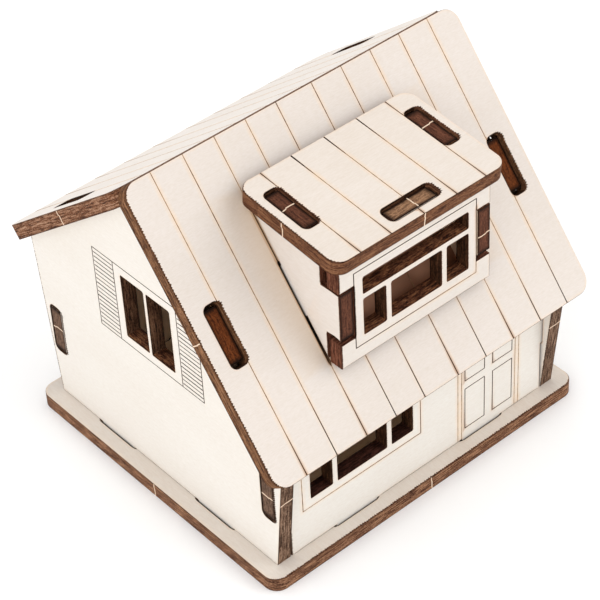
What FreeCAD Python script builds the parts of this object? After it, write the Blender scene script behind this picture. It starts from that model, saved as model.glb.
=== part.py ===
"""Wooden dollhouse: flat plywood pieces that slot together.

Frame: +X runs along the ridge to the right, the wall with the door faces -Y, +Z is up, and the
origin is the middle of the underside of the base plate. Every piece is one sheet of plywood.
"""
import FreeCAD
import Part
import Sketcher
import math
import os

# Driving dimensions, millimetres and degrees.
SIZES = {
    "ply": 3.0,                  # thickness of every sheet
    "house_width": 69.2,         # over the outer faces of the two gable walls
    "house_depth": 63.2,         # over the outer faces of the front and back walls
    "base_side_margin": 3.4,
    "base_front_margin": 3.15,
    "base_corner": 2.8,
    "front_eave": 30.7,          # underside of the front roof over the front wall's outer face
    "back_eave": 42.65,          # underside of the back roof over the back wall's outer face
    "front_slope": 50.8,
    "back_slope": 38.5,
    "front_flare": 6.5,          # lean of the gable wall's front edge
    "back_flare": 5.0,           # lean of the gable wall's back edge
    "front_overhang": 6.0,       # along the slope, past the front wall
    "back_overhang": 4.45,       # along the slope, past the back wall
    "roof_side_overhang": 3.4,
    "roof_corner": 3.0,
    "tab_length": 10.1,
    "tab_play": 0.2,             # between a tab's face and its slot
    "tab_end_play": 0.6,         # between a tab's end and its slot
    "roof_tab_end_play": 0.85,
    "roof_tab_recess": 0.9,      # gable tabs below the face of the roof that they pass through
    "dormer_tab_recess": 0.35,   # the same at the dormer's roof
    "foot_recess": 0.1,          # foot tabs above the underside of the base plate
    "slot_corner": 1.2,
    "gable_foot_tab": 14.3,      # middle of the house to the middle of each foot tab
    "wall_foot_tab": 15.7,
    "wall_tab_rise": 16.35,      # base plate's top to the middle of a wall's end tab
    "shoulder_gap": 0.35,        # between a wall's end and the gable wall's inner face
    "eave_gap": 0.3,             # between a wall's top edge and the roof
    "front_tab_from_ridge": 27.0,
    "back_tab_from_ridge": 24.8,
    "gable_window_offset": 0.25,
    "gable_window_sill": 29.7,   # above the base plate's top
    "gable_light_width": 6.35,
    "gable_light_height": 14.2,
    "gable_mullion": 0.85,
    "window_centre": -13.85,
    "window_sill": 10.85,        # above the base plate's top
    "side_light": 5.15,
    "middle_light": 11.8,
    "mullion": 1.25,
    "light_height": 7.9,
    "transom_bar": 1.2,
    "transom_light": 3.6,
    "light_corner": 0.3,
    "dormer_width": 35.2,        # over the outer faces of the cheeks
    "dormer_setback": 0.0,       # dormer front's face behind the front wall's face
    "dormer_height": 22.75,
    "dormer_slope": 5.5,
    "dormer_front_overhang": 1.9,
    "dormer_back_gap": 0.2,      # between the dormer roof's back edge and the main roof
    "dormer_side_overhang": 2.05,
    "dormer_corner": 2.6,
    "dormer_sill": 4.8,          # above the dormer front's foot
    "lower_ear": 5.35,           # height of the ear under the side notch
    "upper_ear": 5.95,           # height of the ear over the side notch
    "finger_gap": 1.05,          # under the cheek's finger
    "lower_ear_gap": 0.45,       # between the lower ear's back and the cheek
    "upper_ear_gap": 1.5,        # between the upper ear's back and the cheek
    "notch_play": 0.3,           # beside and over the cheek's finger
    "cheek_tab_rise": 13.7,      # along the main roof, from the dormer's foot to the tab's middle
    "cheek_top_tab": 13.35,      # along the dormer roof, from the dormer's face to the tab's middle
    "cheek_nose": 1.2,           # length cut off the cheek's sharp back tip
    "line_width": 0.2,           # of every engraved line
    "line_depth": 0.15,
    "middle_plank": 8.1,         # between the two engraved lines nearest to the roof's middle
    "plank": 6.89,
    "dormer_plank": 7.5,
    "dormer_outer_plank": 6.85,
    "frame_margin": 1.95,        # between a window's lights and the engraved frame round them
    "shutter_width": 5.85,
    "louvre": 1.01,              # from one louvre's line to the next
    "louvre_inset": 0.3,         # between a louvre's ends and the shutter's border
    "door_centre": 17.65,
    "door_width": 13.8,          # between the pilasters
    "door_height": 25.9,         # above the base plate's top
    "door_line_foot": 0.15,      # between the base plate's top and the door's upright lines
    "pilaster": 0.95,
    "door_stile": 0.85,          # between a panel and its pilaster
    "panel_width": 5.0,
    "panel_foot": 2.5,           # above the base plate's top
    "lower_panel": 9.9,
    "panel_rail": 2.05,          # between a leaf's two panels
    "upper_panel": 9.55,
}
ROOF_LINES = 5                   # engraved lines on each half of a main roof panel
LOUVRES = 17                     # engraved lines in each shutter
LEAST_CUT = 0.1                  # cubic millimetres that every cut takes away, at the least

# Places worked out from the sizes, in order.
PLACES = {
    "width_half": "Sizes.house_width / 2",
    "depth_half": "Sizes.house_depth / 2",
    "inner_width_half": "Layout.width_half - Sizes.ply",
    "inner_depth_half": "Layout.depth_half - Sizes.ply",
    "base_x": "Layout.width_half + Sizes.base_side_margin",
    "base_y": "Layout.depth_half + Sizes.base_front_margin",
    "slot_length": "Sizes.tab_length + 2 * Sizes.tab_end_play",
    "slot_width": "Sizes.ply + 2 * Sizes.tab_play",
    "rise_front": "tan(Sizes.front_slope)",
    "rise_back": "tan(Sizes.back_slope)",
    "apex_y": "(Sizes.back_eave - Sizes.front_eave + Layout.depth_half"
              " * (Layout.rise_back - Layout.rise_front)) / (Layout.rise_front + Layout.rise_back)",
    "apex_z": "Sizes.front_eave + Layout.rise_front * (Layout.apex_y + Layout.depth_half)",
    "front_lean": "tan(Sizes.front_flare)",
    "back_lean": "tan(Sizes.back_flare)",
    "front_corner_z": "(Sizes.front_eave + Layout.rise_front * Layout.front_lean * Sizes.ply)"
                      " / (1 + Layout.rise_front * Layout.front_lean)",
    "front_corner_y": "-Layout.depth_half - (Layout.front_corner_z - Sizes.ply) * Layout.front_lean",
    "back_corner_z": "(Sizes.back_eave + Layout.rise_back * Layout.back_lean * Sizes.ply)"
                     " / (1 + Layout.rise_back * Layout.back_lean)",
    "back_corner_y": "Layout.depth_half + (Layout.back_corner_z - Sizes.ply) * Layout.back_lean",
    "roof_x": "Layout.width_half + Sizes.roof_side_overhang",
    "ridge_lap": "Sizes.ply / sin(Sizes.front_slope + Sizes.back_slope)",
    "front_panel_length": "Layout.ridge_lap + (Layout.apex_y + Layout.depth_half)"
                          " / cos(Sizes.front_slope) + Sizes.front_overhang",
    "back_panel_length": "(Layout.depth_half - Layout.apex_y) / cos(Sizes.back_slope)"
                         " + Sizes.back_overhang",
    "back_panel_start": "max(0; Sizes.ply / tan(Sizes.front_slope + Sizes.back_slope))",
    "dormer_face_y": "-Layout.depth_half + Sizes.dormer_setback",
    "dormer_back_y": "Layout.dormer_face_y + Sizes.ply",
    "roof_skin": "Sizes.ply / cos(Sizes.front_slope)",
    "dormer_foot_z": "Sizes.front_eave + Layout.roof_skin"
                     " + Layout.rise_front * (Layout.dormer_back_y + Layout.depth_half)",
    "cheek_slot_y": "(Layout.dormer_back_y - Layout.apex_y) / cos(Sizes.front_slope)"
                    " + Sizes.ply * Layout.rise_front + Sizes.cheek_tab_rise",
    "dormer_top_z": "Layout.dormer_foot_z + Sizes.dormer_height",
    "dormer_x": "Sizes.dormer_width / 2",
    "dormer_rise": "tan(Sizes.dormer_slope)",
    "cheek_back_z": "Layout.dormer_top_z + Sizes.ply * Layout.dormer_rise",
    "cheek_run": "(Layout.cheek_back_z - Layout.dormer_foot_z)"
                 " / (Layout.rise_front - Layout.dormer_rise)",
    "dormer_panel_length": "Sizes.dormer_front_overhang"
                           " + (Sizes.ply + Layout.cheek_run) / cos(Sizes.dormer_slope)"
                           " - Sizes.dormer_back_gap",
}


def make_sheet(doc):
    """The spreadsheet of driving dimensions."""
    sheet = doc.addObject("Spreadsheet::Sheet", "Sizes")
    for row, (name, size) in enumerate(SIZES.items(), start=1):
        sheet.set("A%d" % row, name)
        sheet.set("B%d" % row, str(size))
        sheet.setAlias("B%d" % row, name)
    sheet.recompute()


def make_layout(doc):
    """The places that several pieces share, each bound to the spreadsheet."""
    layout = doc.addObject("App::VarSet", "Layout")
    for name, formula in PLACES.items():
        layout.addProperty("App::PropertyFloat", name, "Places")
        layout.setExpression(name, formula)
    gauge = doc.addObject("App::VarSet", "Gauge")
    gauge.addProperty("App::PropertyFloat", "reading", "Places")
    doc.recompute()


def number(doc, formula):
    """The present value of a formula, where a sketch is first drawn."""
    gauge = doc.getObject("Gauge")
    gauge.setExpression("reading", formula)
    gauge.recompute()
    return gauge.reading


def make_body(doc, name):
    body = doc.addObject("PartDesign::Body", name)
    body.Label = name
    return body


def make_sketch(body, plane, name):
    """An empty sketch on one of the body's own origin planes."""
    sketch = body.newObject("Sketcher::SketchObject", name)
    for feature in body.Origin.OriginFeatures:
        if feature.Role == plane:
            sketch.AttachmentSupport = (feature, "")
    sketch.MapMode = "FlatFace"
    return sketch


def bind(sketch, kind, point, formula):
    """Hold a point of the sketch at a distance from the sketch's origin along one axis."""
    amount = number(sketch.Document, formula)
    index = sketch.addConstraint(Sketcher.Constraint(kind, -1, 1, point[0], point[1], amount))
    sketch.setExpression("Constraints[%d]" % index, formula)


def draw_polygon(sketch, corners):
    """A closed outline through corners, each a pair of formulas."""
    doc = sketch.Document
    first = sketch.GeometryCount
    spots = [FreeCAD.Vector(number(doc, x), number(doc, y), 0) for x, y in corners]
    for start, end in zip(spots, spots[1:] + spots[:1]):
        sketch.addGeometry(Part.LineSegment(start, end))
    count = len(corners)
    for step, (x, y) in enumerate(corners):
        line = first + step
        before = first + (step - 1) % count
        sketch.addConstraint(Sketcher.Constraint("Coincident", before, 2, line, 1))
        bind(sketch, "DistanceX", (line, 1), x)
        bind(sketch, "DistanceY", (line, 1), y)


def draw_rectangle(sketch, left, right, bottom, top):
    draw_polygon(sketch, [(left, bottom), (right, bottom), (right, top), (left, top)])


def draw_rounded(sketch, left, right, bottom, top, radius):
    """A rectangle with round corners; each side and the radius are formulas."""
    doc = sketch.Document
    x0, x1, y0, y1, r = [number(doc, side) for side in (left, right, bottom, top, radius)]
    spot = FreeCAD.Vector
    up = spot(0, 0, 1)
    lines = [
        (spot(x0 + r, y0, 0), spot(x1 - r, y0, 0)),
        (spot(x1, y0 + r, 0), spot(x1, y1 - r, 0)),
        (spot(x1 - r, y1, 0), spot(x0 + r, y1, 0)),
        (spot(x0, y1 - r, 0), spot(x0, y0 + r, 0)),
    ]
    centres = [
        spot(x1 - r, y0 + r, 0),
        spot(x1 - r, y1 - r, 0),
        spot(x0 + r, y1 - r, 0),
        spot(x0 + r, y0 + r, 0),
    ]
    first = sketch.GeometryCount
    for start, end in lines:
        sketch.addGeometry(Part.LineSegment(start, end))
    quarter = math.pi / 2
    for turn, centre in enumerate(centres):
        circle = Part.Circle(centre, up, r)
        sketch.addGeometry(Part.ArcOfCircle(circle, (turn - 1) * quarter, turn * quarter))
    for turn in range(4):
        line = first + turn
        after = first + (turn + 1) % 4
        arc = first + 4 + turn
        sketch.addConstraint(Sketcher.Constraint("Tangent", line, 2, arc, 1))
        sketch.addConstraint(Sketcher.Constraint("Tangent", arc, 2, after, 1))
        sketch.addConstraint(Sketcher.Constraint("Vertical" if turn % 2 else "Horizontal", line))
    for turn in range(1, 4):
        sketch.addConstraint(Sketcher.Constraint("Equal", first + 4, first + 4 + turn))
    index = sketch.addConstraint(Sketcher.Constraint("Radius", first + 4, r))
    sketch.setExpression("Constraints[%d]" % index, radius)
    bind(sketch, "DistanceY", (first, 1), bottom)
    bind(sketch, "DistanceX", (first + 1, 1), right)
    bind(sketch, "DistanceY", (first + 2, 1), top)
    bind(sketch, "DistanceX", (first + 3, 1), left)


def draw_slot(sketch, x, y, length, width):
    """A tab's slot about a middle point, its sides along the sketch's axes."""
    draw_rounded(
        sketch,
        "%s - (%s) / 2" % (x, length), "%s + (%s) / 2" % (x, length),
        "%s - (%s) / 2" % (y, width), "%s + (%s) / 2" % (y, width),
        "Sizes.slot_corner",
    )


def draw_slanted_tab(sketch, start, along, inward, middle, reach):
    """A tab that stands square on a slanted edge.

    start is a point of the edge, along the edge's direction and inward the tab's, both as pairs
    of formulas; middle is the distance from start to the tab's middle, reach the tab's height.
    """
    corners = []
    for side, height in (("-", "0"), ("+", "0"), ("+", reach), ("-", reach)):
        step = "(%s %s Sizes.tab_length / 2)" % (middle, side)
        corners.append(tuple(
            "%s + %s * (%s) + (%s) * (%s)" % (start[axis], step, along[axis], height, inward[axis])
            for axis in (0, 1)
        ))
    draw_polygon(sketch, corners)


def add_sheet_pad(body, sketch, name, toward_back=False):
    """Raise a sketch to the thickness of the plywood."""
    pad = body.newObject("PartDesign::Pad", name)
    pad.Profile = sketch
    pad.setExpression("Length", "Sizes.ply")
    pad.Reversed = toward_back
    body.Document.recompute()


def add_pocket(body, sketch, name):
    """A pocket that is still to be given its depth."""
    pocket = body.newObject("PartDesign::Pocket", name)
    pocket.Profile = sketch
    return pocket


def check_cut(body, name, before):
    """Stop if a pocket left the body's volume as it was before."""
    body.Document.recompute()
    if body.Shape.Volume > before - LEAST_CUT:
        raise RuntimeError("%s of %s cuts nothing" % (name, body.Label))


def cut_through(body, sketch, name):
    """Cut a sketch through the whole sheet."""
    before = body.Shape.Volume
    pocket = add_pocket(body, sketch, name)
    pocket.Type = "ThroughAll"
    pocket.Midplane = True
    check_cut(body, name, before)


def engrave(body, sketch, name, along_normal=False):
    """Burn a sketch's lines into the face that it lies on."""
    before = body.Shape.Volume
    pocket = add_pocket(body, sketch, name)
    pocket.setExpression("Length", "Sizes.line_depth")
    pocket.Reversed = along_normal
    check_cut(body, name, before)
    return pocket


def raise_to_far_face(sketch):
    """Move a sketch from the face that a sheet was drawn on to its other face."""
    sketch.setExpression("AttachmentOffset.Base.z", "Sizes.ply")


def draw_foot_tabs(sketch, distance):
    """The two tabs of a wall that stand in the base plate."""
    for side in ("-", ""):
        draw_rectangle(
            sketch,
            "%s%s - Sizes.tab_length / 2" % (side, distance),
            "%s%s + Sizes.tab_length / 2" % (side, distance),
            "Sizes.foot_recess", "Sizes.ply",
        )


def draw_light(sketch, left, right, bottom, top):
    draw_rounded(sketch, left, right, bottom, top, "Sizes.light_corner")


def window_sides(centre):
    """The outer sides of the side lights."""
    reach = "(Sizes.middle_light / 2 + Sizes.mullion + Sizes.side_light)"
    return "%s - %s" % (centre, reach), "%s + %s" % (centre, reach)


def window_top(sill):
    return "%s + Sizes.light_height + Sizes.transom_bar + Sizes.transom_light" % sill


def draw_window(sketch, centre, sill):
    """Three lights side by side under one long transom light."""
    left, right = window_sides(centre)
    light_top = "%s + Sizes.light_height" % sill
    draw_light(sketch, left, left + " + Sizes.side_light", sill, light_top)
    draw_light(sketch, centre + " - Sizes.middle_light / 2", centre + " + Sizes.middle_light / 2",
               sill, light_top)
    draw_light(sketch, right + " - Sizes.side_light", right, sill, light_top)
    draw_light(sketch, left, right, light_top + " + Sizes.transom_bar", window_top(sill))


def draw_border(sketch, left, right, bottom, top, side):
    """One side of a border's line: "-" for the rectangle inside it, "+" for the one outside."""
    half = "Sizes.line_width / 2"
    inward = "+" if side == "-" else "-"
    draw_rectangle(
        sketch,
        "%s %s %s" % (left, inward, half), "%s %s %s" % (right, side, half),
        "%s %s %s" % (bottom, inward, half), "%s %s %s" % (top, side, half),
    )


def draw_frame(sketch, left, right, bottom, top):
    """A rectangular line."""
    draw_border(sketch, left, right, bottom, top, "+")
    draw_border(sketch, left, right, bottom, top, "-")


def engrave_window_frame(body, centre, sill):
    """The line round a window of three lights and a transom."""
    left, right = window_sides(centre)
    sketch = make_sketch(body, "XZ_Plane", body.Label + "_frame")
    draw_frame(sketch, left + " - Sizes.frame_margin", right + " + Sizes.frame_margin",
               sill + " - Sizes.frame_margin", window_top(sill) + " + Sizes.frame_margin")
    engrave(body, sketch, body.Label + "_frame_line")


def draw_planks(sketch, places, start, end):
    """Lines down a whole roof panel, at places on both sides of its middle."""
    for place in places:
        for side in ("-", ""):
            draw_rectangle(
                sketch,
                "%s(%s) - Sizes.line_width / 2" % (side, place),
                "%s(%s) + Sizes.line_width / 2" % (side, place),
                start, end,
            )


def engrave_roof(body, start, end):
    """The planks of a main roof panel, between its two ends."""
    places = ["Sizes.middle_plank / 2 + %d * Sizes.plank" % step for step in range(ROOF_LINES)]
    sketch = make_sketch(body, "XY_Plane", body.Label + "_planks")
    raise_to_far_face(sketch)
    draw_planks(sketch, places, start, end)
    engrave(body, sketch, body.Label + "_plank_lines")


def make_base_plate(doc):
    body = make_body(doc, "base_plate")
    outline = make_sketch(body, "XY_Plane", "BaseOutline")
    draw_rounded(outline, "-Layout.base_x", "Layout.base_x", "-Layout.base_y", "Layout.base_y",
                 "Sizes.base_corner")
    add_sheet_pad(body, outline, "BaseSheet")
    slots = make_sketch(body, "XY_Plane", "FootSlots")
    gable_middle = "(Layout.width_half - Sizes.ply / 2)"
    wall_middle = "(Layout.depth_half - Sizes.ply / 2)"
    for across in ("-", ""):
        for along in ("-", ""):
            draw_slot(slots, across + gable_middle, along + "Sizes.gable_foot_tab",
                      "Layout.slot_width", "Layout.slot_length")
            draw_slot(slots, across + "Sizes.wall_foot_tab", along + wall_middle,
                      "Layout.slot_length", "Layout.slot_width")
    cut_through(body, slots, "FootSlotCuts")
    return body


def make_wall(doc, name, face, top):
    """A wall between the gables: end tabs through them, foot tabs into the base plate."""
    body = make_body(doc, name)
    outline = make_sketch(body, "XZ_Plane", name + "_outline")
    end = "(Layout.inner_width_half - Sizes.shoulder_gap)"
    draw_rectangle(outline, "-" + end, end, "Sizes.ply", "%s - Sizes.eave_gap" % top)
    add_sheet_pad(body, outline, name + "_sheet", toward_back=True)
    tabs = make_sketch(body, "XZ_Plane", name + "_tabs")
    draw_foot_tabs(tabs, "Sizes.wall_foot_tab")
    bottom = "Sizes.ply + Sizes.wall_tab_rise - Sizes.tab_length / 2"
    draw_rectangle(tabs, "-Layout.width_half", "-" + end, bottom, bottom + " + Sizes.tab_length")
    draw_rectangle(tabs, end, "Layout.width_half", bottom, bottom + " + Sizes.tab_length")
    add_sheet_pad(body, tabs, name + "_tab_sheet", toward_back=True)
    body.setExpression("Placement.Base.y", face)
    return body


def draw_door_surround(sketch):
    """Two pilasters, each between two lines, and the line over the door, as one comb."""
    foot = "Sizes.ply + Sizes.door_line_foot"
    top = "Sizes.ply + Sizes.door_height"
    half = "Sizes.line_width / 2"
    reach = "(Sizes.door_width / 2)"
    outer = "(Sizes.door_width / 2 + Sizes.pilaster)"
    lines = ["-" + outer, "-" + reach, "+" + reach, "+" + outer]
    corners = []
    for step, line in enumerate(lines):
        left = "Sizes.door_centre %s - %s" % (line, half)
        right = "Sizes.door_centre %s + %s" % (line, half)
        ends = [(left, foot), (right, foot)]
        left_top = top + (" + " if step == 0 else " - ") + half
        right_top = top + (" + " if step == 3 else " - ") + half
        corners += [(left, left_top)] + ends + [(right, right_top)]
    draw_polygon(sketch, corners)


def draw_door_panels(sketch):
    """A lower and an upper panel in each leaf."""
    lower = "Sizes.ply + Sizes.panel_foot"
    lower_top = lower + " + Sizes.lower_panel"
    upper = lower_top + " + Sizes.panel_rail"
    outer = "(Sizes.door_width / 2 - Sizes.door_stile)"
    inner = "(Sizes.door_width / 2 - Sizes.door_stile - Sizes.panel_width)"
    for bottom, top in ((lower, lower_top), (upper, upper + " + Sizes.upper_panel")):
        draw_frame(sketch, "Sizes.door_centre - " + outer, "Sizes.door_centre - " + inner, bottom, top)
        draw_frame(sketch, "Sizes.door_centre + " + inner, "Sizes.door_centre + " + outer, bottom, top)


def make_front_wall(doc):
    body = make_wall(doc, "front_wall", "-Layout.depth_half", "Sizes.front_eave")
    sill = "Sizes.ply + Sizes.window_sill"
    window = make_sketch(body, "XZ_Plane", "FrontWindow")
    draw_window(window, "Sizes.window_centre", sill)
    cut_through(body, window, "FrontWindowCuts")
    engrave_window_frame(body, "Sizes.window_centre", sill)
    door = make_sketch(body, "XZ_Plane", "DoorSurround")
    draw_door_surround(door)
    engrave(body, door, "DoorSurroundLines")
    panels = make_sketch(body, "XZ_Plane", "DoorPanels")
    draw_door_panels(panels)
    engrave(body, panels, "DoorPanelLines")
    return body


def make_back_wall(doc):
    return make_wall(doc, "back_wall", "Layout.inner_depth_half", "Sizes.back_eave")


def engrave_shutters(body, outer_face_is_far, left, right, bottom, top):
    """A frame round a gable window's lights, and a louvred shutter at each side of it."""
    borders = make_sketch(body, "YZ_Plane", body.Label + "_borders")
    louvres = make_sketch(body, "YZ_Plane", body.Label + "_louvres")
    if outer_face_is_far:
        raise_to_far_face(borders)
        raise_to_far_face(louvres)
    far_left = left + " - Sizes.shutter_width"
    far_right = right + " + Sizes.shutter_width"
    draw_border(borders, far_left, far_right, bottom, top, "+")
    for start, end in ((far_left, left), (left, right), (right, far_right)):
        draw_border(borders, start, end, bottom, top, "-")
    lowest = "%s - %d * Sizes.louvre" % (top, LOUVRES)
    for start, end in ((far_left, left), (right, far_right)):
        draw_rectangle(
            louvres,
            start + " + Sizes.louvre_inset", end + " - Sizes.louvre_inset",
            lowest + " - Sizes.line_width / 2", lowest + " + Sizes.line_width / 2",
        )
    engrave(body, borders, body.Label + "_border_lines", along_normal=not outer_face_is_far)
    lines = engrave(body, louvres, body.Label + "_lowest_louvres", along_normal=not outer_face_is_far)
    before = body.Shape.Volume
    pattern = body.newObject("PartDesign::LinearPattern", body.Label + "_louvre_lines")
    pattern.Originals = [lines]
    pattern.Direction = (louvres, ["V_Axis"])
    pattern.setExpression("Length", "%d * Sizes.louvre" % (LOUVRES - 1))
    pattern.Occurrences = LOUVRES
    body.Tip = pattern
    check_cut(body, pattern.Label, before)


def make_gable_wall(doc, name, face, outer_face_is_far):
    """A gable wall with leaning edges, roof tabs, foot tabs, two lights and the walls' mortises."""
    body = make_body(doc, name)
    outline = make_sketch(body, "YZ_Plane", name + "_outline")
    draw_polygon(outline, [
        ("-Layout.depth_half", "Sizes.ply"),
        ("Layout.depth_half", "Sizes.ply"),
        ("Layout.back_corner_y", "Layout.back_corner_z"),
        ("Layout.apex_y", "Layout.apex_z"),
        ("Layout.front_corner_y", "Layout.front_corner_z"),
    ])
    add_sheet_pad(body, outline, name + "_sheet")
    tabs = make_sketch(body, "YZ_Plane", name + "_tabs")
    draw_foot_tabs(tabs, "Sizes.gable_foot_tab")
    apex = ("Layout.apex_y", "Layout.apex_z")
    reach = "Sizes.ply - Sizes.roof_tab_recess"
    draw_slanted_tab(tabs, apex, ("-cos(Sizes.front_slope)", "-sin(Sizes.front_slope)"),
                     ("-sin(Sizes.front_slope)", "cos(Sizes.front_slope)"),
                     "Sizes.front_tab_from_ridge", reach)
    draw_slanted_tab(tabs, apex, ("cos(Sizes.back_slope)", "-sin(Sizes.back_slope)"),
                     ("sin(Sizes.back_slope)", "cos(Sizes.back_slope)"),
                     "Sizes.back_tab_from_ridge", reach)
    add_sheet_pad(body, tabs, name + "_tab_sheet")
    openings = make_sketch(body, "YZ_Plane", name + "_openings")
    middle = "Sizes.ply + Sizes.wall_tab_rise"
    wall_middle = "(Layout.depth_half - Sizes.ply / 2)"
    draw_slot(openings, "-" + wall_middle, middle, "Layout.slot_width", "Layout.slot_length")
    draw_slot(openings, wall_middle, middle, "Layout.slot_width", "Layout.slot_length")
    sill = "Sizes.ply + Sizes.gable_window_sill"
    head = sill + " + Sizes.gable_light_height"
    offset = "Sizes.gable_window_offset"
    near = "%s + Sizes.gable_mullion / 2" % offset
    far = "%s - Sizes.gable_mullion / 2" % offset
    back = near + " + Sizes.gable_light_width"
    front = far + " - Sizes.gable_light_width"
    draw_light(openings, near, back, sill, head)
    draw_light(openings, front, far, sill, head)
    cut_through(body, openings, name + "_cuts")
    engrave_shutters(body, outer_face_is_far, front + " - Sizes.frame_margin",
                     back + " + Sizes.frame_margin", sill + " - Sizes.frame_margin",
                     head + " + Sizes.frame_margin")
    body.setExpression("Placement.Base.x", face)
    return body


def tilt(body, slope_sign, slope, y, z):
    """Lay a panel on a slope: turn it about the ridge's direction and move it to y and z."""
    body.Placement = FreeCAD.Placement(
        FreeCAD.Vector(0, 0, 0), FreeCAD.Rotation(FreeCAD.Vector(slope_sign, 0, 0), 1)
    )
    body.setExpression("Placement.Rotation.Angle", slope)
    body.setExpression("Placement.Base.y", y)
    body.setExpression("Placement.Base.z", z)


def make_front_roof_panel(doc):
    """Its own origin is on its underside, where the two slopes meet; +Y is up the slope."""
    body = make_body(doc, "front_roof_panel")
    eave = "Layout.ridge_lap - Layout.front_panel_length"
    outline = make_sketch(body, "XY_Plane", "FrontRoofOutline")
    draw_rounded(outline, "-Layout.roof_x", "Layout.roof_x", eave, "Layout.ridge_lap",
                 "Sizes.roof_corner")
    add_sheet_pad(body, outline, "FrontRoofSheet")
    slots = make_sketch(body, "XY_Plane", "FrontRoofSlots")
    long_slot = "Sizes.tab_length + 2 * Sizes.roof_tab_end_play"
    gable_middle = "(Layout.width_half - Sizes.ply / 2)"
    cheek_middle = "(Layout.dormer_x - Sizes.ply / 2)"
    for side in ("-", ""):
        draw_slot(slots, side + gable_middle, "-Sizes.front_tab_from_ridge",
                  "Layout.slot_width", long_slot)
        draw_slot(slots, side + cheek_middle, "Layout.cheek_slot_y",
                  "Layout.slot_width", "Layout.slot_length")
    cut_through(body, slots, "FrontRoofSlotCuts")
    engrave_roof(body, eave, "Layout.ridge_lap")
    tilt(body, 1, "Sizes.front_slope", "Layout.apex_y", "Layout.apex_z")
    return body


def make_back_roof_panel(doc):
    """Its own origin is on its underside, where the two slopes meet; +Y is down the slope."""
    body = make_body(doc, "back_roof_panel")
    outline = make_sketch(body, "XY_Plane", "BackRoofOutline")
    draw_rounded(outline, "-Layout.roof_x", "Layout.roof_x", "Layout.back_panel_start",
                 "Layout.back_panel_length", "Sizes.roof_corner")
    add_sheet_pad(body, outline, "BackRoofSheet")
    slots = make_sketch(body, "XY_Plane", "BackRoofSlots")
    long_slot = "Sizes.tab_length + 2 * Sizes.roof_tab_end_play"
    for side in ("-", ""):
        draw_slot(slots, side + "(Layout.width_half - Sizes.ply / 2)", "Sizes.back_tab_from_ridge",
                  "Layout.slot_width", long_slot)
    cut_through(body, slots, "BackRoofSlotCuts")
    engrave_roof(body, "Layout.back_panel_start", "Layout.back_panel_length")
    tilt(body, -1, "Sizes.back_slope", "Layout.apex_y", "Layout.apex_z")
    return body


def make_dormer_front(doc):
    """The dormer's window wall: notched at both sides for the cheeks' fingers, tabbed at the top."""
    body = make_body(doc, "dormer_front")
    outline = make_sketch(body, "XZ_Plane", "DormerFrontOutline")
    draw_rectangle(outline, "-Layout.dormer_x", "Layout.dormer_x",
                   "Layout.dormer_foot_z", "Layout.dormer_top_z")
    add_sheet_pad(body, outline, "DormerFrontSheet", toward_back=True)
    tab = make_sketch(body, "XZ_Plane", "DormerFrontTab")
    draw_rectangle(tab, "-Sizes.tab_length / 2", "Sizes.tab_length / 2", "Layout.dormer_top_z",
                   "Layout.dormer_top_z + Sizes.ply - Sizes.dormer_tab_recess")
    add_sheet_pad(body, tab, "DormerFrontTabSheet", toward_back=True)
    notches = make_sketch(body, "XZ_Plane", "FingerNotches")
    low = "Layout.dormer_foot_z + Sizes.lower_ear"
    high = "Layout.dormer_top_z - Sizes.upper_ear"
    inner = "(Layout.dormer_x - Sizes.ply - Sizes.notch_play)"
    outer = "(Layout.dormer_x + Sizes.ply)"
    draw_rectangle(notches, "-" + outer, "-" + inner, low, high)
    draw_rectangle(notches, inner, outer, low, high)
    cut_through(body, notches, "FingerNotchCuts")
    sill = "Layout.dormer_foot_z + Sizes.dormer_sill"
    window = make_sketch(body, "XZ_Plane", "DormerWindow")
    draw_window(window, "0", sill)
    cut_through(body, window, "DormerWindowCuts")
    engrave_window_frame(body, "0", sill)
    body.setExpression("Placement.Base.y", "Layout.dormer_face_y")
    return body


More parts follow.
